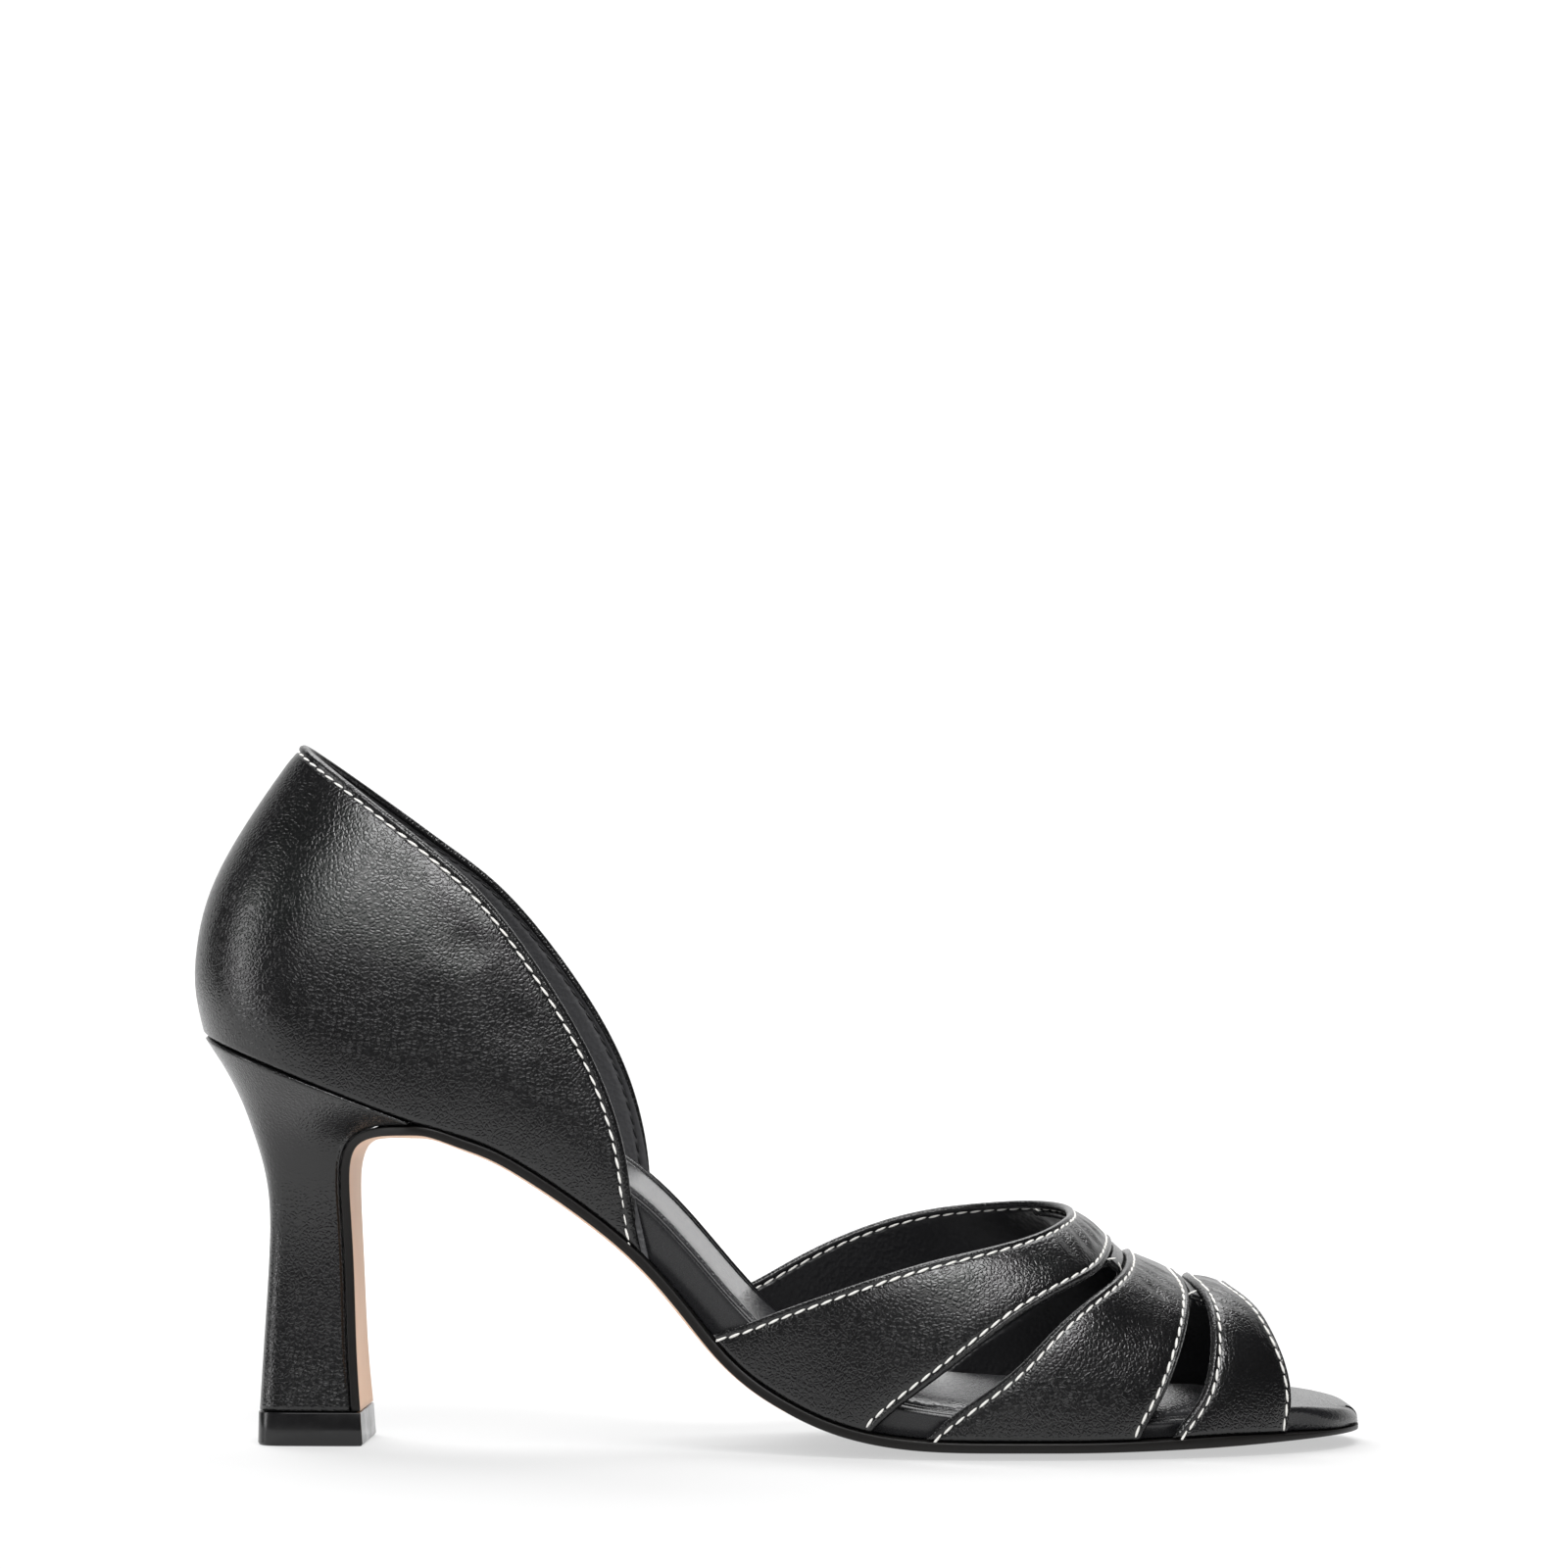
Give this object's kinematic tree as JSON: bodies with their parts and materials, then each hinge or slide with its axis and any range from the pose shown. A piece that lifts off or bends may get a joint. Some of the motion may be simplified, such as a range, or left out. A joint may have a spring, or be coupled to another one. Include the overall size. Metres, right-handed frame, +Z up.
{
  "type": "peep-toe shoe",
  "caption": "Peep-toe heeled shoe with open waist, strapped vamp with slit windows, padded footbed, thin leather sole running down the breast of a flared heel.",
  "frame": {"origin": "middle of the bounding box in plan, on the floor", "axes": "+X from the back of the heel to the toe, +Y from the outer to the inner side of the foot, +Z up"},
  "size_m": [0.2248, 0.0762, 0.1352],
  "materials": {
    "vamp": "fine grain, satin",
    "quarter": "fine grain, satin",
    "footbed": "smooth, satin",
    "outsole": "smooth, black edge",
    "heel": "fine grain, satin",
    "top_piece": "gloss"
  },
  "bodies": {
    "root": {"vamp": "vamp", "quarter": "quarter", "footbed": "footbed", "outsole": "outsole", "heel": "heel", "top_piece": "top_piece"}
  },
  "joints": []
}
